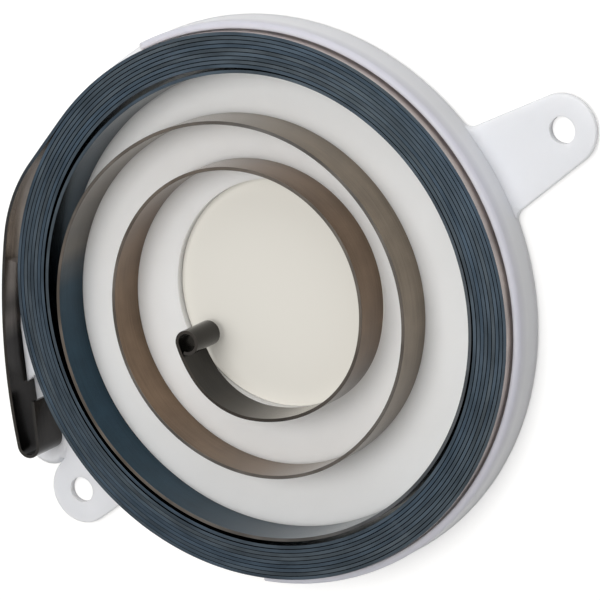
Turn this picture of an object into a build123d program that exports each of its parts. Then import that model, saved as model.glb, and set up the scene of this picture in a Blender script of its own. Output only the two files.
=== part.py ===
"""Constant force spring in its moulded cup: one coiled strip and one housing.

The part lies on its back. The origin is on the axis of the cup at its back face, +Z points
to the open front, and the two ear screws stand on a line parallel to X. Millimetres.
"""

import os
from math import atan2, cos, degrees, hypot, radians, sin, sqrt

from build123d import *

# Strip
strip_width = 6.0
strip_thickness = 0.45
layer_gap = 0.08  # oil film and slack between two wound layers

# Wound pack
pack_outer_radius = 37.1  # about the pack's own centre, where the outermost layer leaves
pack_turns = 9
pack_exit_angle = 103.5
pack_shift = 0.165  # the pack lies off the cup's axis, so that its outer layer hugs the wall
pack_shift_angle = 225.0

# Free turns between the pack and the eye, one value a step from the pack in to the eye: how
# far the strip has left the pack's own spiral, as a share of the room that it has there.
free_step = 39.8
free_shares = (
    0.0, 0.0, 0.008, 0.010, 0.018, 0.029, 0.004, 0.004, 0.010, 0.020, 0.027,
    0.032, 0.043, 0.128, 0.280, 0.408, 0.500, 0.528, 0.512, 0.489, 0.506,
    0.529, 0.571, 0.625, 0.710, 0.786, 0.845, 0.866, 0.902, 0.914, 1.0,
)

# Eye at the inner end
eye_bore_radius = 1.25
eye_reach = 13.12  # from the pack's centre to the strip where it leaves the eye
eye_lean = 8.0  # there the strip climbs this much from square to the radius
eye_seam = 52.0  # part of the round that the curl leaves open, at the strip

# Tail and hook at the outer end
tail_straight = 8.0
tail_knee_radius = 21.6
tail_knee_turn = 30.9
tail_sweep_radius = 90.0
tail_sweep_turn = 18.9
hook_inner_radius = 1.3
hook_turn = 173.7
hook_leg = 6.3

# Housing
strip_proud = 1.4  # the strip stands this much above the rim
floor_thickness = 1.2
plate_thickness = 1.0  # ears and pocket
pack_clearance = 0.05
rim_thickness = 1.0
foot_step = 0.1  # the base stands this much outside the wall
wall_start = -128.0
wall_end = 79.0
front_round = 0.25
back_round = 0.45
rim_round = 0.15
hub_hole_radius = 15.6
hub_hole_x = 1.0
hub_hole_y = 0.2

# Ears
ear_line = -4.87  # both screws stand at this Y
long_ear_x = 49.2
short_ear_x = -43.7
screw_hole_radius = 1.8
ear_tip_radius = 4.75
ear_taper = 7.5
ear_root_fillet = 1.6

# Pocket floor under the tail and its hook
pocket_margin = 2.1
pocket_lead = 1.0  # its round end stands this much outside the hook's bend
pocket_round = 0.8
pocket_from = 136.0
pocket_to = 184.0

# Guide block between the pack and the tail, which slopes down to the pocket floor
guide_height = 2.4  # above the floor
guide_gap = 0.3  # to the tail
guide_shares = (0.15, 0.45, 0.72)  # its corners, as shares of the tail's sweep
guide_ramp = 4.5

# Worked out from the sizes above
half = strip_thickness / 2
free_steps = len(free_shares) - 1
pitch = strip_thickness + layer_gap
pack_exit_radius = pack_outer_radius - half
half_turns = 2 * pack_turns - 1
pack_entry_radius = pack_exit_radius - half_turns * pitch / 2
pack_entry_angle = pack_exit_angle - 180.0 * half_turns
eye_radius = eye_bore_radius + half
hook_radius = hook_inner_radius + half
rim_height = floor_thickness + strip_width - strip_proud


def polar(radius, angle, centre=(0, 0)):
    """Point at a radius and an angle in degrees about a centre."""
    return Vector(*centre) + Vector(radius * cos(radians(angle)), radius * sin(radians(angle)))


def pack_reach(angle):
    """How far the pack's outside stands from the cup's axis, at an angle about it."""
    wound = (pack_exit_angle - angle) % 360 / 360 * pitch
    return pack_outer_radius - wound + pack_shift * cos(radians(angle - pack_shift_angle))


pack_centre = polar(pack_shift, pack_shift_angle)
wall_inner_radius = max(pack_reach(angle) for angle in range(360)) + pack_clearance
wall_outer_radius = wall_inner_radius + rim_thickness
base_radius = wall_outer_radius + foot_step


def free_radius(step):
    """Distance of the strip's middle line from the pack's centre, some steps in from the pack."""
    step = min(max(step, 0), free_steps)
    innermost = pack_entry_radius - pitch * free_steps * free_step / 360
    left = free_shares[step] * (innermost - eye_reach)
    return pack_entry_radius - pitch * step * free_step / 360 - left


def free_knot(step):
    """Point and heading of the middle line, some steps in from the pack."""
    angle = pack_entry_angle - step * free_step
    slope = (free_radius(step - 1) - free_radius(step + 1)) / radians(2 * free_step)
    lean = degrees(atan2(slope, free_radius(step)))
    if step == 0:
        lean = 0
    if step == free_steps:
        lean = eye_lean
    return polar(free_radius(step), angle, pack_centre), polar(1, angle + 90 - lean)


def arc_pair(start, leave, end, arrive, offset):
    """Two arcs from start to end that share a tangent, moved sideways by offset."""
    chord = end - start
    both = leave + arrive
    square = 2 * (1 - leave.dot(arrive))
    along = chord.dot(both)
    reach = (sqrt(along**2 + square * chord.dot(chord)) - along) / square
    joint = (start + end + (leave - arrive) * reach) / 2
    half_chord = (joint - start).normalized()
    pass_on = half_chord * (2 * leave.dot(half_chord)) - leave
    out_start = start + Vector(leave.Y, -leave.X) * offset
    out_joint = joint + Vector(pass_on.Y, -pass_on.X) * offset
    out_end = end + Vector(arrive.Y, -arrive.X) * offset
    TangentArc(out_start, out_joint, tangent=leave)
    TangentArc(out_joint, out_end, tangent=pass_on)


def pack_arcs(offset):
    """Half circles about two centres, which make a spiral of constant pitch."""
    for k in range(half_turns):
        side = -1 if k % 2 == 0 else 1
        centre = polar(side * pitch / 4, pack_entry_angle, pack_centre)
        radius = pack_entry_radius + (2 * k + 1) * pitch / 4
        start = pack_entry_angle + 180.0 * k
        CenterArc(centre, radius + offset, start, 180)


def tail_lines(offset):
    """Straight, knee, long sweep, hook and leg, each tangent to the one before."""
    heading = pack_exit_angle + 90
    start = polar(pack_exit_radius + offset, pack_exit_angle, pack_centre)
    run = Line(start, start + polar(tail_straight, heading))
    knee = JernArc(run @ 1, run % 1, tail_knee_radius + offset, tail_knee_turn)
    sweep = JernArc(knee @ 1, knee % 1, tail_sweep_radius + offset, tail_sweep_turn)
    hook = JernArc(sweep @ 1, sweep % 1, hook_radius + offset, hook_turn)
    leg = Line(hook @ 1, hook @ 1 + (hook % 1) * hook_leg)
    return sweep, leg


def strip_side(offset):
    """One side of the strip, from the tip of the eye to the end of the hook."""
    knots = [free_knot(step) for step in range(free_steps, -1, -1)]
    leave = knots[0][1]
    centre = knots[0][0] + Vector(-leave.Y, leave.X) * eye_radius
    eye_end = degrees(atan2(-leave.X, leave.Y))
    curl = CenterArc(centre, eye_radius + offset, eye_end - 360 + eye_seam, 360 - eye_seam)
    for (start, leave), (end, arrive) in zip(knots, knots[1:]):
        arc_pair(start, leave, end, arrive, offset)
    pack_arcs(offset)
    sweep, leg = tail_lines(offset)
    return curl @ 0, leg @ 1


def ear_outline(hole_x):
    """Tip circle and a wide root, joined by their hull, along the ear's own line."""
    reach = hypot(hole_x, ear_line)
    root = wall_inner_radius
    root_half = ear_tip_radius + (reach - root) * sin(radians(ear_taper))
    heading = degrees(atan2(ear_line, hole_x))
    with BuildSketch(Plane.XY.rotated((0, 0, heading))) as outline:
        with BuildLine():
            CenterArc((reach, 0), ear_tip_radius, -120, 240)
            Line((root, -root_half), (root, root_half))
        make_hull()
    return outline.sketch


# Strip: eye, free turns, pack, tail and hook as one ribbon
with BuildPart() as spring_strip:
    with BuildSketch(Plane.XY.offset(floor_thickness)):
        with BuildLine():
            inner_ends = strip_side(-half)
            outer_ends = strip_side(half)
            Line(inner_ends[0], outer_ends[0])
            Line(inner_ends[1], outer_ends[1])
        make_face()
    extrude(amount=strip_width)
spring_strip.part.label = "spring_strip"

# Middle of the hook's bend, which the pocket is drawn round
with BuildLine(mode=Mode.PRIVATE) as middle:
    hook_leg_line = tail_lines(0)[1]
hook_back = hook_leg_line % 0
hook_centre = (hook_leg_line @ 0) + Vector(-hook_back.Y, hook_back.X) * hook_radius
lobe_centre = hook_centre - Vector(pocket_lead, 0)
lobe_radius = hook_radius + half + pocket_margin
wall_middle_radius = wall_inner_radius + rim_thickness / 2

# Pocket floor beside the cup, under the tail
with BuildPart() as pocket:
    with BuildSketch():
        with BuildLine():
            CenterArc(lobe_centre, lobe_radius - pocket_round, 0, 360)
            CenterArc((0, 0), wall_middle_radius, pocket_from, pocket_to - pocket_from)
        make_hull()
    extrude(amount=plate_thickness)

# Raised round pad that the hook lies on
with BuildPart() as lobe:
    with BuildSketch():
        with Locations(lobe_centre):
            Circle(lobe_radius)
    extrude(amount=floor_thickness)
    chamfer(lobe.faces().sort_by(Axis.Z)[-1].edges(), pocket_round)

# Corners of the guide block, beside the inner side of the tail's sweep
with BuildLine(mode=Mode.PRIVATE) as beside:
    sweep = tail_lines(-half - guide_gap)[0]
guide_from, guide_middle, guide_to = (sweep @ share for share in guide_shares)

# Guide block, a wedge towards the axis that the wall's inner circle cuts off
with BuildPart() as guide:
    with BuildSketch():
        with BuildLine():
            Polyline(guide_from, guide_middle, guide_to, (0, 0), close=True)
        make_face()
        Circle(wall_inner_radius, mode=Mode.SUBTRACT)
    extrude(amount=floor_thickness + guide_height)
    guide_top = guide.faces().sort_by(Axis.Z)[-1]
    guide_end = guide_top.edges().sort_by(Axis.Y)[0]
    chamfer(guide_end, guide_ramp, guide_height, reference=guide_top)

# Housing: plate with ears, floor, wall and holes
with BuildPart() as spring_housing:
    with BuildSketch() as plate:
        Circle(base_radius)
        add(ear_outline(long_ear_x))
        add(ear_outline(short_ear_x))
        roots = [v for v in plate.vertices() if abs(hypot(v.X, v.Y) - base_radius) < 0.01]
        fillet(roots, ear_root_fillet)
    extrude(amount=plate_thickness)
    chamfer(spring_housing.faces().sort_by(Axis.Z)[-1].edges(), front_round)
    chamfer(spring_housing.faces().sort_by(Axis.Z)[0].edges(), back_round)
    add(pocket.part)
    add(lobe.part)
    add(guide.part)
    with BuildSketch():
        Circle(wall_middle_radius)
    extrude(amount=floor_thickness)
    with BuildSketch(Plane.XZ.rotated((0, 0, wall_start))):
        with BuildLine():
            Polyline(
                (wall_inner_radius, plate_thickness / 2),
                (wall_outer_radius, plate_thickness / 2),
                (wall_outer_radius, rim_height - rim_round),
                (wall_outer_radius - rim_round, rim_height),
                (wall_inner_radius + rim_round, rim_height),
                (wall_inner_radius, rim_height - rim_round),
                close=True,
            )
        make_face()
    revolve(axis=Axis.Z, revolution_arc=wall_end - wall_start)
    with Locations((hub_hole_x, hub_hole_y)):
        Hole(hub_hole_radius)
    with Locations((long_ear_x, ear_line), (short_ear_x, ear_line)):
        Hole(screw_hole_radius)
spring_housing.part.label = "spring_housing"

os.makedirs("parts", exist_ok=True)
export_step(spring_strip.part, "parts/spring_strip.step")
export_step(spring_housing.part, "parts/spring_housing.step")
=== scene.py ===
from math import atan2, cos, degrees, hypot, pi, radians, sin, sqrt

import bmesh
import bpy
from bpy.props import FloatProperty, FloatVectorProperty, IntProperty, PointerProperty
from mathutils import Matrix, Vector


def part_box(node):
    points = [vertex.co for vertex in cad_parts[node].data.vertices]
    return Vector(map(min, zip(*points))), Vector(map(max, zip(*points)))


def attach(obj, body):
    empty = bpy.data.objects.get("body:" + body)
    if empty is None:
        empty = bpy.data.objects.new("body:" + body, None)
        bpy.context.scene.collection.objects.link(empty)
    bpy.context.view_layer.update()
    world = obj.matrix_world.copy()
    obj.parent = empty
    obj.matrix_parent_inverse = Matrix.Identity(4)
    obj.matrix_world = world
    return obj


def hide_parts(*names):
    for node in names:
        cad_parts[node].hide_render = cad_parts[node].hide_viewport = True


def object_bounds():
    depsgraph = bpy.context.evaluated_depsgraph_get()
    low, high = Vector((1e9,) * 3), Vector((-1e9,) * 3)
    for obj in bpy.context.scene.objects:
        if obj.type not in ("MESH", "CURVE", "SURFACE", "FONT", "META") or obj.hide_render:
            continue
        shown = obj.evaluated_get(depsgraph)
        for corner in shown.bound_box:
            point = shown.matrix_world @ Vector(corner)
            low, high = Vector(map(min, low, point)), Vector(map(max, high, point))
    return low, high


bl_info = {
    "name": "Constant Force Spring",
    "version": (1, 0, 0),
    "blender": (4, 5, 0),
    "location": "View3D > Sidebar > Spring",
    "description": "Builds a coiled strip spring in its moulded cup, with a stage to show it on",
    "category": "Add Mesh",
}

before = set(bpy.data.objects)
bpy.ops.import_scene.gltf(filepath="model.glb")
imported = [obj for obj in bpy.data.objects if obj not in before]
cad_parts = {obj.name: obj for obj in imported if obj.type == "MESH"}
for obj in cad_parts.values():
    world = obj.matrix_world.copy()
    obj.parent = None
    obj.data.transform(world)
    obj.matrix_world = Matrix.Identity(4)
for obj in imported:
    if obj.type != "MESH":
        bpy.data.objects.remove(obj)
cad_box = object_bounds()
strip_low, strip_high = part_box("spring_strip")
MM = 0.001

# The strip's run, in millimetres and degrees. The pack lies off the cup's axis, so that its
# outer layer hugs the wall.
PACK_EXIT_ANGLE = 103.5
PACK_SHIFT = 0.165
PACK_SHIFT_ANGLE = 225.0
EYE_BORE_RADIUS = 1.25
EYE_REACH = 13.12  # from the pack's centre to the strip where it leaves the eye
EYE_LEAN = 8.0  # there the strip climbs this much from square to the radius
EYE_CURL = 308  # how far round the eye closes
TAIL_STRAIGHT = 8.0
TAIL_KNEE = (21.6, 30.9)  # radius and turn, as for the next two
TAIL_SWEEP = (90.0, 18.9)
HOOK = (1.3, 173.7)  # the radius is the hook's inside
HOOK_LEG = 6.3
TAIL_LENGTH = 60.3  # from the pack to the end of the hook

# How far apart the middle line's points lie, in millimetres
TIGHT_PITCH = 0.12  # eye and hook
KNEE_PITCH = 0.5
FREE_PITCH = 0.7
WIDE_PITCH = 1.0  # pack and sweep
STRAIGHT_PARTS = 6

# Free turns between the pack and the eye, one value a step from the pack in to the eye: how
# far the strip has left the pack's own spiral, as a share of the room that it has there.
FREE_STEP = 39.8
FREE_SHARES = (
    0.0, 0.0, 0.008, 0.010, 0.018, 0.029, 0.004, 0.004, 0.010, 0.020, 0.027,
    0.032, 0.043, 0.128, 0.280, 0.408, 0.500, 0.528, 0.512, 0.489, 0.506,
    0.529, 0.571, 0.625, 0.710, 0.786, 0.845, 0.866, 0.902, 0.914, 1.0,
)

SEED = 3.0  # of the strip's unevenness
CREASE = radians(20)  # a steeper bend than this is a sharp edge on the strip
LYING = 0.3  # a face whose normal rises more than this belongs to a slit edge

# The cup as it comes from the CAD
WELD = 0.001 * MM
SHARP = radians(50)  # a steeper bend than this is a sharp edge on the cup
FLOOR_RADIUS = 37.0 * MM
# The wall's painted shade, darker and bluer towards the rim, runs between these heights.
WALL_SHADE_START = 3.5 * MM
WALL_SHADE_END = 5.6 * MM
RIM_DEPTH = 0.2 * MM  # the rim's corner points lie within this of its top and of its sides
RIM_SIDE = 0.05 * MM  # points nearer to a side than this stand on it
RIM_TOP = 0.01 * MM  # points nearer to the top than this lie in it
RIM_CUTS = 3

# The guide block's slope rises from its foot, near the hook, to a flat top.
GUIDE_LOW, GUIDE_HIGH = 1.25 * MM, 5.0 * MM  # only its points stand between these heights
GUIDE_TOP = 3.8 * MM
GUIDE_FOOT = 1.4 * MM
GUIDE_RISE = 0.17

# The camera, in millimetres from the origin, with its own right and backward directions
CAMERA_PLACE = (271.68, -48.02, 434.08)
CAMERA_RIGHT = (0.67938, -0.5539, -0.4803)
CAMERA_BACK = (0.52492, -0.0898, 0.84618)
CAMERA_LENS = 232.5
CAMERA_SENSOR = 36
CAMERA_CLIP = (0.01, 20)

SKY_SEEN = 0.8  # the sky's strength as the camera and reflections see it


def linear(code):
    """An sRGB hex value as the linear colour that Blender's sockets take."""
    parts = [int(code[k : k + 2], 16) / 255 for k in (0, 2, 4)]
    return tuple(c / 12.92 if c <= 0.04045 else ((c + 0.055) / 1.055) ** 2.4 for c in parts) + (1,)


def node(tree, kind, settings=None, inputs=None):
    """Adds a node with its settings, and a value or a link for each input."""
    made = tree.nodes.new(kind)
    for name, value in (settings or {}).items():
        setattr(made, name, value)
    for key, value in (inputs or {}).items():
        if isinstance(value, bpy.types.NodeSocket):
            tree.links.new(value, made.inputs[key])
        else:
            made.inputs[key].default_value = value
    return made


# ---------------------------------------------------------------- sizes and colours


class StripSettings(bpy.types.PropertyGroup):
    """Sizes and colours of the coiled strip"""

    width: FloatProperty(
        name="Width", description="Width of the strip", unit="LENGTH",
        default=strip_high.z - strip_low.z,
    )
    thickness: FloatProperty(
        name="Thickness", description="Thickness of the strip", unit="LENGTH", default=0.45 * MM
    )
    layer_gap: FloatProperty(
        name="Layer gap", description="Slack between two wound layers", unit="LENGTH",
        default=0.08 * MM,
    )
    edge_round: FloatProperty(
        name="Edge rounding", description="Radius left on the slit edges", unit="LENGTH",
        default=0.035 * MM,
    )
    unevenness: FloatProperty(
        name="Unevenness", description="How far layers stand above or below each other",
        unit="LENGTH", default=0.1 * MM,
    )
    pack_radius: FloatProperty(
        name="Pack radius", description="Outside of the wound pack", unit="LENGTH",
        default=37.1 * MM,
    )
    pack_turns: IntProperty(name="Pack turns", description="Layers in the wound pack", default=9)
    eye_colour: FloatVectorProperty(
        name="End colour", description="Scaled face of the heated ends, at the eye and the hook",
        subtype="COLOR", default=linear("343230")[:3], min=0, max=1,
    )
    face_colour: FloatVectorProperty(
        name="Face colour", description="Straw brown face of the free turns", subtype="COLOR",
        default=linear("75614E")[:3], min=0, max=1,
    )
    second_colour: FloatVectorProperty(
        name="Second turn colour", description="Paler brown face of the second free turn",
        subtype="COLOR", default=linear("7E7263")[:3], min=0, max=1,
    )
    pack_colour: FloatVectorProperty(
        name="Pack face colour", description="Blue face of the wound turns", subtype="COLOR",
        default=linear("1D3644")[:3], min=0, max=1,
    )
    # Partly painted reflection: the outermost turn's bronze temper colour is made paler, so that
    # the band where this face mirrors the shaded rim reads light.
    outer_bronze_and_reflection: FloatVectorProperty(
        name="Outer face colour", description="Bronze face of the outermost turn",
        subtype="COLOR", default=linear("C8BDB2")[:3], min=0, max=1,
    )
    free_edge_colour: FloatVectorProperty(
        name="Free edge colour", description="Slit edges of the free turns", subtype="COLOR",
        default=linear("55504B")[:3], min=0, max=1,
    )
    edge_colour: FloatVectorProperty(
        name="Pack edge colour", description="Slit edges of the wound pack", subtype="COLOR",
        default=linear("3D464E")[:3], min=0, max=1,
    )


class HousingSettings(bpy.types.PropertyGroup):
    """Colour and edges of the moulded cup"""

    rim_round: FloatProperty(
        name="Rim rounding", description="Radius of the rim's outer edge", unit="LENGTH",
        default=0.6 * MM,
    )
    rim_inner_round: FloatProperty(
        name="Inner rim rounding", description="Radius of the rim's inner edge", unit="LENGTH",
        default=0.25 * MM,
    )
    colour: FloatVectorProperty(
        name="Nylon colour", description="Body of the moulded cup", subtype="COLOR",
        default=linear("EAEBF0")[:3], min=0, max=1,
    )
    # Painted shade: the wall is painted darker and bluer towards its rim, for the shade that the
    # proud pack and the rim's rounding leave there.
    painted_rim_shade: FloatVectorProperty(
        name="Painted rim shade", description="The wall at its rim, with the pack behind it",
        subtype="COLOR", default=linear("CACAD5")[:3], min=0, max=1,
    )
    # Painted light: the cup's floor is painted lighter and a little warmer than the rest of the
    # cup, against the contact shadows between the turns.
    painted_floor_light: FloatVectorProperty(
        name="Painted floor light", description="The cup's floor", subtype="COLOR",
        default=linear("F3F1EE")[:3], min=0, max=1,
    )


class StageSettings(bpy.types.PropertyGroup):
    """Light of the stage"""

    top_power: FloatProperty(
        name="Top lamp", description="Power of the soft lamp overhead", unit="POWER", default=3.95
    )
    side_power: FloatProperty(
        name="Side lamp", description="Power of the wide lamp at the side", unit="POWER",
        default=2.2,
    )
    sky_strength: FloatProperty(
        name="Sky", description="Strength of the even light from all round", default=0.34
    )


# ---------------------------------------------------------------- materials


def new_material(name):
    """A material with its node tree and its Principled shader."""
    material = bpy.data.materials.new(name)
    material.use_nodes = True
    tree = material.node_tree
    return material, tree, tree.nodes["Principled BSDF"]


def banded(tree, along, length, stops):
    """A colour that changes along the strip, from stops in millimetres from its inner end."""
    share = node(tree, "ShaderNodeMapRange", None,
                 {"Value": along, "From Min": 0.0, "From Max": length * MM})
    band = node(tree, "ShaderNodeValToRGB", None, {"Fac": share.outputs[0]})
    marks = band.color_ramp.elements
    marks.remove(marks[1])
    marks[0].position, marks[0].color = stops[0][0] / length, (*stops[0][1], 1)
    for where, shade in stops[1:]:
        marks.new(where / length).color = (*shade, 1)
    return band


def rolled_steel(settings, length):
    """Blued spring steel, cold rolled and tempered: the face of the strip.

    Rolling leaves fine lines along the strip, and the heat of tempering leaves a thin oxide
    that runs from straw brown to blue along its length, and darker at the heated ends.
    """
    material, tree, shader = new_material("blued spring steel, rolled face")
    along = node(tree, "ShaderNodeAttribute", {"attribute_name": "along"})
    place = node(tree, "ShaderNodeTexCoord")
    height = node(tree, "ShaderNodeSeparateXYZ", None, {0: place.outputs["Object"]})
    # Tempering colours wander by up to 10 mm along the strip.
    wander = node(tree, "ShaderNodeTexNoise", {"noise_dimensions": "1D"},
                  {"W": along.outputs["Fac"], "Scale": 90.0, "Detail": 2.0})
    shift = node(tree, "ShaderNodeMath", {"operation": "MULTIPLY_ADD"},
                 {0: wander.outputs[0], 1: 0.02, 2: -0.01})
    reach = node(tree, "ShaderNodeMath", {"operation": "ADD"},
                 {0: along.outputs["Fac"], 1: shift.outputs[0]})
    outer_turn = length - TAIL_LENGTH - 2 * pi * settings.pack_radius / MM
    temper = banded(tree, reach.outputs[0], length, (
        (0, settings.eye_colour), (24, settings.eye_colour),
        (46, settings.face_colour), (130, settings.face_colour),
        (170, settings.second_colour), (236, settings.second_colour),
        (258, settings.pack_colour), (outer_turn, settings.pack_colour),
        # The outermost turn's bronze is painted paler than its temper colour, a painted reflection
        # of the rim.
        (outer_turn + 30, settings.outer_bronze_and_reflection), (length - 44, settings.outer_bronze_and_reflection),
        (length - 30, settings.eye_colour),
    ))
    # Rolling lines, about 0.3 mm apart across the strip and drawn out 40 times along it.
    lines = node(tree, "ShaderNodeCombineXYZ", None,
                 {0: along.outputs["Fac"], 1: height.outputs["Z"]})
    drawn = node(tree, "ShaderNodeVectorMath", {"operation": "MULTIPLY"},
                 {0: lines.outputs[0], 1: (80.0, 3300.0, 1.0)})
    grain = node(tree, "ShaderNodeTexNoise", None,
                 {"Vector": drawn.outputs[0], "Scale": 1.0, "Detail": 3.0, "Roughness": 0.6})
    mottle = node(tree, "ShaderNodeTexNoise", None,
                  {"Vector": place.outputs["Object"], "Scale": 260.0, "Detail": 4.0})
    both = node(tree, "ShaderNodeMath", {"operation": "ADD"},
                {0: grain.outputs[0], 1: mottle.outputs[0]})
    depth = node(tree, "ShaderNodeMapRange", None,
                 {"Value": both.outputs[0], "From Min": 0.7, "From Max": 1.3,
                  "To Min": 0.78, "To Max": 1.18})
    colour = node(tree, "ShaderNodeMix", {"data_type": "RGBA", "blend_type": "MULTIPLY"},
                  {"Factor": 1.0, 6: temper.outputs[0], 7: depth.outputs[0]})
    gloss = node(tree, "ShaderNodeMapRange", None,
                 {"Value": both.outputs[0], "From Min": 0.7, "From Max": 1.3,
                  "To Min": 0.15, "To Max": 0.25})
    bump = node(tree, "ShaderNodeBump", None,
                {"Height": grain.outputs[0], "Strength": 0.12, "Distance": 0.00002})
    tree.links.new(colour.outputs[2], shader.inputs["Base Color"])
    tree.links.new(gloss.outputs[0], shader.inputs["Roughness"])
    tree.links.new(bump.outputs[0], shader.inputs["Normal"])
    shader.inputs["Metallic"].default_value = 1.0
    # A film of oil keeps the rust off and lights up where the face is seen edge on.
    shader.inputs["Coat Weight"].default_value = 0.15
    shader.inputs["Coat Roughness"].default_value = 0.15
    return material


def slit_edge(settings, length):
    """Blued spring steel, slit and deburred: the narrow edges that the pack shows.

    Slitting leaves them a little brighter and rougher than the face, and the layers differ.
    """
    material, tree, shader = new_material("blued spring steel, slit edge")
    along = node(tree, "ShaderNodeAttribute", {"attribute_name": "along"})
    band = banded(tree, along.outputs["Fac"], length, (
        (0, settings.eye_colour), (26, settings.eye_colour),
        (48, settings.free_edge_colour), (300, settings.free_edge_colour),
        (380, settings.edge_colour), (length - TAIL_LENGTH, settings.edge_colour),
        (length - TAIL_LENGTH + 14, settings.eye_colour),
    ))
    # One layer is 200 mm long, so a 60 mm wander makes each layer its own shade, some of
    # them bluer and some greyer.
    wander = node(tree, "ShaderNodeTexNoise", {"noise_dimensions": "1D"},
                  {"W": along.outputs["Fac"], "Scale": 17.0, "Detail": 3.0})
    hue = node(tree, "ShaderNodeMapRange", None,
               {"Value": wander.outputs[0], "From Min": 0.35, "From Max": 0.65,
                "To Min": 0.0, "To Max": 1.0})
    shade = node(tree, "ShaderNodeMix", {"data_type": "RGBA"},
                 {"Factor": hue.outputs[0], 6: (0.92, 0.98, 1.04, 1), 7: (1.12, 1.05, 0.98, 1)})
    tinted = node(tree, "ShaderNodeMix", {"data_type": "RGBA", "blend_type": "MULTIPLY"},
                  {"Factor": 1.0, 6: band.outputs[0], 7: shade.outputs[2]})
    # Slitting marks, 5 to 10 mm long
    marks = node(tree, "ShaderNodeTexNoise", {"noise_dimensions": "1D"},
                 {"W": along.outputs["Fac"], "Scale": 130.0, "Detail": 3.0})
    depth = node(tree, "ShaderNodeMapRange", None,
                 {"Value": marks.outputs[0], "From Min": 0.3, "From Max": 0.7,
                  "To Min": 0.75, "To Max": 1.25})
    colour = node(tree, "ShaderNodeMix", {"data_type": "RGBA", "blend_type": "MULTIPLY"},
                  {"Factor": 1.0, 6: tinted.outputs[2], 7: depth.outputs[0]})
    tree.links.new(colour.outputs[2], shader.inputs["Base Color"])
    shader.inputs["Metallic"].default_value = 1.0
    shader.inputs["Roughness"].default_value = 0.42
    return material


def moulded_nylon(settings):
    """Nylon 66, injection moulded in a satin tool: white, faintly uneven and softly glossy."""
    material, tree, shader = new_material("white nylon, injection moulded")
    place = node(tree, "ShaderNodeTexCoord")
    # Flow and sink marks wander over about 15 mm.
    flow = node(tree, "ShaderNodeTexNoise", None,
                {"Vector": place.outputs["Object"], "Scale": 65.0, "Detail": 2.0})
    depth = node(tree, "ShaderNodeMapRange", None,
                 {"Value": flow.outputs[0], "From Min": 0.3, "From Max": 0.7,
                  "To Min": 0.97, "To Max": 1.02})
    # The wall is painted darker and bluer towards its rim, a painted shade for the pack's shade on
    # it, and the floor is painted lighter and a little warmer, a painted light against its contact
    # shadows.
    spot = node(tree, "ShaderNodeSeparateXYZ", None, {0: place.outputs["Object"]})
    flat = node(tree, "ShaderNodeCombineXYZ", None, {0: spot.outputs["X"], 1: spot.outputs["Y"]})
    reach = node(tree, "ShaderNodeVectorMath", {"operation": "LENGTH"}, {0: flat.outputs[0]})
    height = node(tree, "ShaderNodeMapRange", None,
                  {"Value": spot.outputs["Z"], "From Min": WALL_SHADE_START,
                   "From Max": WALL_SHADE_END, "To Min": 0.0, "To Max": 1.0})
    rim_shaded = node(tree, "ShaderNodeMix", {"data_type": "RGBA"},
                  {"Factor": height.outputs[0], 6: (*settings.colour, 1),
                   7: (*settings.painted_rim_shade, 1)})
    # Painted light: within the floor's radius the colour is the painted floor light.
    inside = node(tree, "ShaderNodeMath", {"operation": "LESS_THAN"},
                  {0: reach.outputs["Value"], 1: FLOOR_RADIUS})
    floor = node(tree, "ShaderNodeMix", {"data_type": "RGBA"},
                 {"Factor": inside.outputs[0], 6: rim_shaded.outputs[2],
                  7: (*settings.painted_floor_light, 1)})
    colour = node(tree, "ShaderNodeMix", {"data_type": "RGBA", "blend_type": "MULTIPLY"},
                  {"Factor": 1.0, 6: floor.outputs[2], 7: depth.outputs[0]})
    # The tool's satin grain is about 0.15 mm, too fine to show, so it is drawn at 0.3 mm.
    satin = node(tree, "ShaderNodeTexNoise", None,
                 {"Vector": place.outputs["Object"], "Scale": 3300.0, "Detail": 2.0})
    bump = node(tree, "ShaderNodeBump", None,
                {"Height": satin.outputs[0], "Strength": 0.1, "Distance": 0.00002})
    tree.links.new(colour.outputs[2], shader.inputs["Base Color"])
    tree.links.new(bump.outputs[0], shader.inputs["Normal"])
    shader.inputs["Roughness"].default_value = 0.45
    shader.inputs["IOR"].default_value = 1.53
    # Light goes a few millimetres deep into natural nylon, which softens its shadows.
    shader.inputs["Subsurface Weight"].default_value = 0.8
    shader.inputs["Subsurface Radius"].default_value = (1.0, 0.97, 0.95)
    shader.inputs["Subsurface Scale"].default_value = 2.5 * MM
    return material


# ---------------------------------------------------------------- the strip's middle line


def polar(radius, angle):
    """The flat vector of this length at this angle in degrees."""
    return Vector((radius * cos(radians(angle)), radius * sin(radians(angle))))


def arc_points(centre, radius, start, sweep, pitch):
    """Points along an arc, without its last one."""
    count = max(2, round(abs(radians(sweep)) * radius / pitch))
    return [centre + polar(radius, start + sweep * k / count) for k in range(count)]


def tangent_arc(start, heading, end, pitch):
    """Points along the arc that leaves start along heading and ends at end, without the end."""
    chord = end - start
    left = Vector((-heading.y, heading.x))
    radius = chord.dot(chord) / (2 * left.dot(chord))
    centre = start + left * radius
    first = degrees(atan2(start.y - centre.y, start.x - centre.x))
    last = degrees(atan2(end.y - centre.y, end.x - centre.x))
    sweep = (last - first) % 360 if radius > 0 else -((first - last) % 360)
    return arc_points(centre, abs(radius), first, sweep, pitch)


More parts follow.
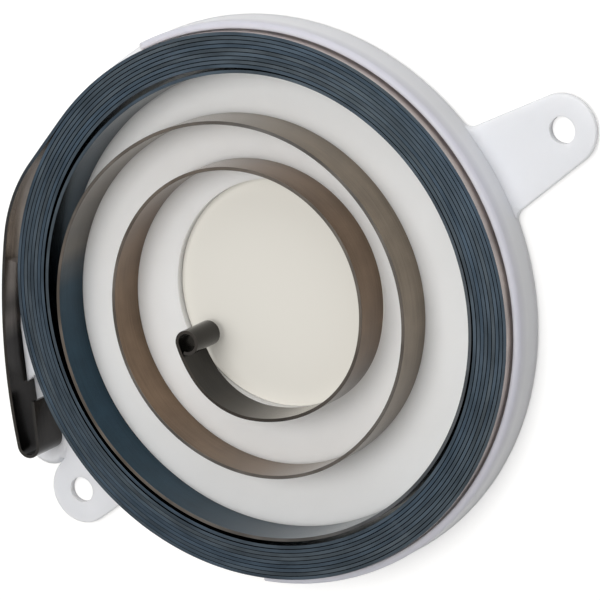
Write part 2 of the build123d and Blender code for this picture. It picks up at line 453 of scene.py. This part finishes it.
def middle_line(settings):
    """The strip's middle line in millimetres, from the tip of the eye to the end of the hook."""
    half = settings.thickness / MM / 2
    pitch = (settings.thickness + settings.layer_gap) / MM
    half_turns = 2 * settings.pack_turns - 1
    exit_radius = settings.pack_radius / MM - half
    entry_radius = exit_radius - half_turns * pitch / 2
    entry_angle = PACK_EXIT_ANGLE - 180.0 * half_turns
    steps = len(FREE_SHARES) - 1
    innermost = entry_radius - pitch * steps * FREE_STEP / 360
    eye_radius = EYE_BORE_RADIUS + half
    centre = polar(PACK_SHIFT, PACK_SHIFT_ANGLE)

    def free_radius(step):
        left = FREE_SHARES[step] * (innermost - EYE_REACH)
        return entry_radius - pitch * step * FREE_STEP / 360 - left

    def free_knot(step):
        angle = entry_angle - step * FREE_STEP
        if step == 0:
            lean = 0
        elif step == steps:
            lean = EYE_LEAN
        else:
            slope = (free_radius(step - 1) - free_radius(step + 1)) / radians(2 * FREE_STEP)
            lean = degrees(atan2(slope, free_radius(step)))
        return centre + polar(free_radius(step), angle), polar(1, angle + 90 - lean)

    # Eye
    knots = [free_knot(step) for step in range(steps, -1, -1)]
    leave = knots[0][1]
    eye = knots[0][0] + Vector((-leave.y, leave.x)) * eye_radius
    eye_end = degrees(atan2(-leave.x, leave.y))
    points = arc_points(eye, eye_radius, eye_end - EYE_CURL, EYE_CURL, TIGHT_PITCH)
    # Free turns, in pairs of tangent arcs
    for (start, leave), (end, arrive) in zip(knots, knots[1:]):
        chord = end - start
        both = leave + arrive
        square = 2 * (1 - leave.dot(arrive))
        along = chord.dot(both)
        reach = (sqrt(along**2 + square * chord.dot(chord)) - along) / square
        joint = (start + end + (leave - arrive) * reach) / 2
        half_chord = (joint - start).normalized()
        pass_on = half_chord * (2 * leave.dot(half_chord)) - leave
        points += tangent_arc(start, leave, joint, FREE_PITCH)
        points += tangent_arc(joint, pass_on, end, FREE_PITCH)
    # Pack, in half circles about two centres
    for k in range(half_turns):
        middle = centre + polar((-1 if k % 2 == 0 else 1) * pitch / 4, entry_angle)
        radius = entry_radius + (2 * k + 1) * pitch / 4
        points += arc_points(middle, radius, entry_angle + 180.0 * k, 180, WIDE_PITCH)
    # Tail and hook
    place = centre + polar(exit_radius, PACK_EXIT_ANGLE)
    heading = PACK_EXIT_ANGLE + 90
    points.append(place)

    def straight(place, length):
        parts = [place + polar(length * k / STRAIGHT_PARTS, heading)
                 for k in range(1, STRAIGHT_PARTS)]
        return parts + [place + polar(length, heading)]

    points += straight(place, TAIL_STRAIGHT)
    for radius, turn, pitch in ((*TAIL_KNEE, KNEE_PITCH), (*TAIL_SWEEP, WIDE_PITCH),
                                (HOOK[0] + half, HOOK[1], TIGHT_PITCH)):
        middle = points[-1] + polar(radius, heading + 90)
        points += arc_points(middle, radius, heading - 90, turn, pitch)[1:]
        heading += turn
        points.append(middle + polar(radius, heading - 90))
    points += straight(points[-1], HOOK_LEG)
    return points


def line_length(points):
    """The length of the line through the points."""
    return sum((b - a).length for a, b in zip(points, points[1:]))


def strip_tree():
    """Geometry nodes that lay a flat strip on edge along a curve."""
    tree = bpy.data.node_groups.new("flat strip on edge", "GeometryNodeTree")
    face = tree.interface
    face.new_socket("Geometry", in_out="OUTPUT", socket_type="NodeSocketGeometry")
    face.new_socket("Geometry", in_out="INPUT", socket_type="NodeSocketGeometry")
    for name in ("Width", "Thickness", "Edge rounding", "Unevenness"):
        socket = face.new_socket(name, in_out="INPUT", socket_type="NodeSocketFloat")
        socket.subtype = "DISTANCE"
    face.new_socket("Seed", in_out="INPUT", socket_type="NodeSocketFloat")
    face.new_socket("Face", in_out="INPUT", socket_type="NodeSocketMaterial")
    face.new_socket("Edge", in_out="INPUT", socket_type="NodeSocketMaterial")
    given = node(tree, "NodeGroupInput").outputs
    where = node(tree, "GeometryNodeSplineParameter")
    line = node(tree, "GeometryNodeSetCurveNormal", {"mode": "Z_UP"}, {"Curve": given["Geometry"]})
    marked = node(tree, "GeometryNodeStoreNamedAttribute",
                  {"data_type": "FLOAT", "domain": "POINT"},
                  {"Geometry": line.outputs[0], "Name": "along", "Value": where.outputs["Length"]})
    # Layers stand a little above or below each other, over about 80 mm of strip.
    offset = node(tree, "ShaderNodeMath", {"operation": "ADD"},
                  {0: where.outputs["Length"], 1: given["Seed"]})
    wave = node(tree, "ShaderNodeTexNoise", {"noise_dimensions": "1D"},
                {"W": offset.outputs[0], "Scale": 12.0, "Detail": 1.0})
    centred = node(tree, "ShaderNodeMath", {"operation": "SUBTRACT"}, {0: wave.outputs[0], 1: 0.5})
    lift = node(tree, "ShaderNodeMath", {"operation": "MULTIPLY"},
                {0: centred.outputs[0], 1: given["Unevenness"]})
    rise = node(tree, "ShaderNodeCombineXYZ", None, {"Z": lift.outputs[0]})
    moved = node(tree, "GeometryNodeSetPosition", None,
                 {"Geometry": marked.outputs[0], "Offset": rise.outputs[0]})
    section = node(tree, "GeometryNodeCurvePrimitiveQuadrilateral", {"mode": "RECTANGLE"},
                   {"Width": given["Thickness"], "Height": given["Width"]})
    rounded = node(tree, "GeometryNodeFilletCurve", {"mode": "POLY"},
                   {"Curve": section.outputs[0], "Radius": given["Edge rounding"], "Count": 2})
    swept = node(tree, "GeometryNodeCurveToMesh", None,
                 {"Curve": moved.outputs[0], "Profile Curve": rounded.outputs[0],
                  "Fill Caps": True})
    # Long flats stay flat and the strip stays smooth along its length.
    bend = node(tree, "GeometryNodeInputMeshEdgeAngle")
    gentle = node(tree, "FunctionNodeCompare", {"data_type": "FLOAT", "operation": "LESS_THAN"},
                  {0: bend.outputs["Unsigned Angle"], 1: CREASE})
    smooth = node(tree, "GeometryNodeSetShadeSmooth", {"domain": "FACE"},
                  {"Geometry": swept.outputs[0], "Shade Smooth": True})
    creased = node(tree, "GeometryNodeSetShadeSmooth", {"domain": "EDGE"},
                   {"Geometry": smooth.outputs[0], "Shade Smooth": gentle.outputs[0]})
    faced = node(tree, "GeometryNodeSetMaterial", None,
                 {"Geometry": creased.outputs[0], "Material": given["Face"]})
    normal = node(tree, "GeometryNodeInputNormal")
    axes = node(tree, "ShaderNodeSeparateXYZ", None, {0: normal.outputs[0]})
    steep = node(tree, "ShaderNodeMath", {"operation": "ABSOLUTE"}, {0: axes.outputs["Z"]})
    up = node(tree, "FunctionNodeCompare", {"data_type": "FLOAT", "operation": "GREATER_THAN"},
              {0: steep.outputs[0], 1: LYING})
    edged = node(tree, "GeometryNodeSetMaterial", None,
                 {"Geometry": faced.outputs[0], "Selection": up.outputs[0],
                  "Material": given["Edge"]})
    real = node(tree, "GeometryNodeRealizeInstances", None, {"Geometry": edged.outputs[0]})
    node(tree, "NodeGroupOutput", None, {0: real.outputs[0]})
    return tree


def plain_mesh(maker, name):
    """The maker's evaluated shape as a plain mesh object, and the maker is removed."""
    bpy.context.view_layer.update()
    shown = maker.evaluated_get(bpy.context.evaluated_depsgraph_get())
    mesh = bpy.data.meshes.new_from_object(shown)
    mesh.name = name
    bpy.data.objects.remove(maker)
    piece = bpy.data.objects.new(name, mesh)
    bpy.context.scene.collection.objects.link(piece)
    return piece


# ---------------------------------------------------------------- operators


class SPRING_OT_stage(bpy.types.Operator):
    """Lays the floor and the card, hangs the lamps and stands the camera"""

    bl_idname = "spring.stage"
    bl_label = "Stage"

    def sheet(self, scene, name, sides, radius, height, colour, glow_colour, glow_strength):
        """A flat sheet of paper, a little brighter to the eye than the light on it makes it."""
        mesh = bpy.data.meshes.new(name)
        corners = [(*polar(radius, 360 * k / sides), height) for k in range(sides)]
        mesh.from_pydata(corners, [], [tuple(range(sides))])
        piece = bpy.data.objects.new(name, mesh)
        scene.collection.objects.link(piece)
        material, tree, shader = new_material("matte paper, " + name)
        tree.nodes.remove(shader)
        rays = node(tree, "ShaderNodeLightPath")
        seen = node(tree, "ShaderNodeMath", {"operation": "MAXIMUM"},
                    {0: rays.outputs["Is Camera Ray"], 1: rays.outputs["Is Glossy Ray"]})
        seen = node(tree, "ShaderNodeMath", {"operation": "MAXIMUM"},
                    {0: seen.outputs[0], 1: rays.outputs["Is Transmission Ray"]})
        glow = node(tree, "ShaderNodeMath", {"operation": "MULTIPLY"},
                    {0: seen.outputs[0], 1: glow_strength})
        paper = node(tree, "ShaderNodeBsdfDiffuse", None, {"Color": linear(colour)})
        light = node(tree, "ShaderNodeEmission", None,
                     {"Color": linear(glow_colour), "Strength": glow.outputs[0]})
        both = node(tree, "ShaderNodeAddShader", None, {0: paper.outputs[0], 1: light.outputs[0]})
        tree.links.new(both.outputs[0], tree.nodes["Material Output"].inputs["Surface"])
        mesh.materials.append(material)

    def execute(self, context):
        settings = context.scene.spring_stage
        scene = context.scene
        scene.view_settings.view_transform = "Standard"

        # A pale matte sheet that the camera sees as white, with the spring's shadow, and on
        # it a cream card, smaller than the cup, that shows through the hub hole.
        low = cad_box[0][2]
        self.sheet(scene, "floor", sides=4, radius=4.2, height=low - 0.05 * MM,
                   colour="D0CFCD", glow_colour="FFFFFF", glow_strength=0.5)
        self.sheet(scene, "card", sides=64, radius=0.024, height=low - 0.02 * MM,
                   colour="D6D3CB", glow_colour="FFFBF0", glow_strength=0.1)

        # Even light from all round
        world = bpy.data.worlds.new("studio")
        world.use_nodes = True
        scene.world = world
        tree = world.node_tree
        rays = node(tree, "ShaderNodeLightPath")
        seen = node(tree, "ShaderNodeMath", {"operation": "MAXIMUM"},
                    {0: rays.outputs["Is Camera Ray"], 1: rays.outputs["Is Glossy Ray"]})
        level = node(tree, "ShaderNodeMapRange", None,
                     {"Value": seen.outputs[0], "To Min": settings.sky_strength,
                      "To Max": SKY_SEEN})
        sky = tree.nodes["Background"]
        sky.inputs["Color"].default_value = (1, 1, 1, 1)
        tree.links.new(level.outputs[0], sky.inputs["Strength"])

        # Soft lamps, overhead and at the side: size and distance in metres, then the direction
        # round and above the spring in degrees
        for name, power, size, far, around, rise in (
            ("top softbox", settings.top_power, 0.6, 0.8, 75, 79),
            ("side softbox", settings.side_power, 0.8, 0.9, 55, 28),
        ):
            lamp = bpy.data.lights.new(name, "AREA")
            lamp.shape = "DISK"
            lamp.size = size
            lamp.energy = power
            holder = bpy.data.objects.new(name, lamp)
            scene.collection.objects.link(holder)
            direction = Vector((*polar(cos(radians(rise)), around), sin(radians(rise))))
            holder.location = direction * far
            holder.rotation_euler = direction.to_track_quat("Z", "Y").to_euler()

        # Camera
        lens = bpy.data.cameras.new("camera")
        lens.lens = CAMERA_LENS
        lens.sensor_width = CAMERA_SENSOR
        lens.clip_start, lens.clip_end = CAMERA_CLIP
        camera = bpy.data.objects.new("camera", lens)
        scene.collection.objects.link(camera)
        right = Vector(CAMERA_RIGHT).normalized()
        back = Vector(CAMERA_BACK).normalized()
        up = back.cross(right).normalized()
        right = up.cross(back)
        turn = Matrix((right, up, back)).transposed().to_4x4()
        camera.matrix_world = Matrix.Translation(Vector(CAMERA_PLACE) * MM) @ turn
        scene.camera = camera
        return {"FINISHED"}


class SPRING_OT_strip(bpy.types.Operator):
    """Winds the steel strip, with its eye, free turns, pack, tail and hook"""

    bl_idname = "spring.strip"
    bl_label = "Coiled strip"

    def execute(self, context):
        settings = context.scene.spring_strip
        curve = bpy.data.curves.new("strip line", "CURVE")
        curve.dimensions = "3D"
        points = middle_line(settings)
        length = line_length(points)
        spline = curve.splines.new("POLY")
        spline.points.add(len(points) - 1)
        height = (strip_low.z + strip_high.z) / 2
        for knot, point in zip(spline.points, points):
            knot.co = (point.x * MM, point.y * MM, height, 1)
        maker = bpy.data.objects.new("strip line", curve)
        context.scene.collection.objects.link(maker)
        winding = maker.modifiers.new("winding", "NODES")
        winding.node_group = tree = strip_tree()
        given = {
            "Width": settings.width,
            "Thickness": settings.thickness,
            "Edge rounding": settings.edge_round,
            "Unevenness": settings.unevenness,
            "Seed": SEED,
            "Face": rolled_steel(settings, length),
            "Edge": slit_edge(settings, length),
        }
        for socket in tree.interface.items_tree:
            if socket.in_out == "INPUT" and socket.name in given:
                winding[socket.identifier] = given[socket.name]
        strip = plain_mesh(maker, "coiled_strip")
        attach(strip, "root")
        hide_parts("spring_strip")
        return {"FINISHED"}


class SPRING_OT_housing(bpy.types.Operator):
    """Dresses the moulded cup with its ears, wall and pocket"""

    bl_idname = "spring.housing"
    bl_label = "Moulded cup"

    def reach(self, v):
        """How far a point lies from the cup's axis."""
        return hypot(v.co.x, v.co.y)

    def slope_guide(self, work):
        """Gives the guide block between pack and tail its long slope down towards the hook."""
        guide = [v for v in work.verts if GUIDE_LOW < v.co.z < GUIDE_HIGH]
        corner = max(guide, key=self.reach)
        foot = max((e.other_vert(corner) for e in corner.link_edges), key=self.reach)
        corner.co.x, corner.co.y = foot.co.x, foot.co.y
        for v in guide:
            v.co.z = min(GUIDE_TOP, GUIDE_FOOT + GUIDE_RISE * v.co.y)

    def spread(self, v, share):
        """Moves a point out from the cup's axis, or in, at its own height."""
        v.co.x, v.co.y = v.co.x * share, v.co.y * share

    def round_rim(self, work, settings):
        """Turns the rim's two chamfers into round edges."""
        top = max(v.co.z for v in work.verts)
        reaches = [self.reach(v) for v in work.verts if v.co.z > top - RIM_DEPTH]
        for limit, side, radius in ((max(reaches), 1, settings.rim_round),
                                    (min(reaches), -1, settings.rim_inner_round)):
            ring, base = limit - side * radius, top - radius
            lower, upper = set(), set()
            for v in [v for v in work.verts if v.co.z > top - RIM_DEPTH]:
                r = self.reach(v)
                inward = side * (limit - r)
                if inward < RIM_SIDE:
                    v.co.z = base
                    lower.add(v)
                elif inward < RIM_DEPTH and v.co.z > top - RIM_TOP:
                    self.spread(v, ring / r)
                    upper.add(v)
            across = [e for e in work.edges
                      if not lower.isdisjoint(e.verts) and not upper.isdisjoint(e.verts)]
            made = bmesh.ops.subdivide_edges(work, edges=across, cuts=RIM_CUTS)
            for v in made["geom_inner"]:
                if isinstance(v, bmesh.types.BMVert):
                    r = self.reach(v)
                    out, rise = r - ring, v.co.z - base
                    grow = radius / hypot(out, rise)
                    self.spread(v, (ring + out * grow) / r)
                    v.co.z = base + rise * grow

    def execute(self, context):
        settings = context.scene.spring_housing
        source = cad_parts["spring_housing"]
        cup = bpy.data.objects.new("moulded_cup", source.data.copy())
        context.scene.collection.objects.link(cup)
        work = bmesh.new()
        work.from_mesh(cup.data)
        bmesh.ops.remove_doubles(work, verts=work.verts, dist=WELD)
        self.slope_guide(work)
        self.round_rim(work, settings)
        for face in work.faces:
            face.smooth = True
        for edge in work.edges:
            edge.smooth = edge.calc_face_angle(SHARP) < SHARP
        work.to_mesh(cup.data)
        work.free()
        cup.data.materials.clear()
        cup.data.materials.append(moulded_nylon(settings))
        # Flats keep their own normals, so that the narrow chamfers shade as rounded edges.
        even = cup.modifiers.new("even flats", "WEIGHTED_NORMAL")
        even.keep_sharp = True
        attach(cup, "root")
        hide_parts("spring_housing")
        return {"FINISHED"}


class SPRING_PT_panel(bpy.types.Panel):
    """Lists what the add-on builds"""

    bl_label = "Constant force spring"
    bl_idname = "SPRING_PT_panel"
    bl_space_type = "VIEW_3D"
    bl_region_type = "UI"
    bl_category = "Spring"

    def draw(self, context):
        scene = context.scene
        for operator, settings in (
            ("spring.stage", scene.spring_stage),
            ("spring.strip", scene.spring_strip),
            ("spring.housing", scene.spring_housing),
        ):
            box = self.layout.box()
            for name in type(settings).__annotations__:
                box.prop(settings, name)
            box.operator(operator)


CLASSES = (
    StripSettings,
    HousingSettings,
    StageSettings,
    SPRING_OT_stage,
    SPRING_OT_strip,
    SPRING_OT_housing,
    SPRING_PT_panel,
)


def register():
    for cls in CLASSES:
        bpy.utils.register_class(cls)
    bpy.types.Scene.spring_strip = PointerProperty(type=StripSettings)
    bpy.types.Scene.spring_housing = PointerProperty(type=HousingSettings)
    bpy.types.Scene.spring_stage = PointerProperty(type=StageSettings)


def unregister():
    del bpy.types.Scene.spring_strip
    del bpy.types.Scene.spring_housing
    del bpy.types.Scene.spring_stage
    for cls in reversed(CLASSES):
        bpy.utils.unregister_class(cls)


def main():
    register()
    bpy.ops.spring.stage()
    bpy.ops.spring.strip()
    bpy.ops.spring.housing()
    bpy.context.view_layer.update()


if __name__ == "__main__":
    main()
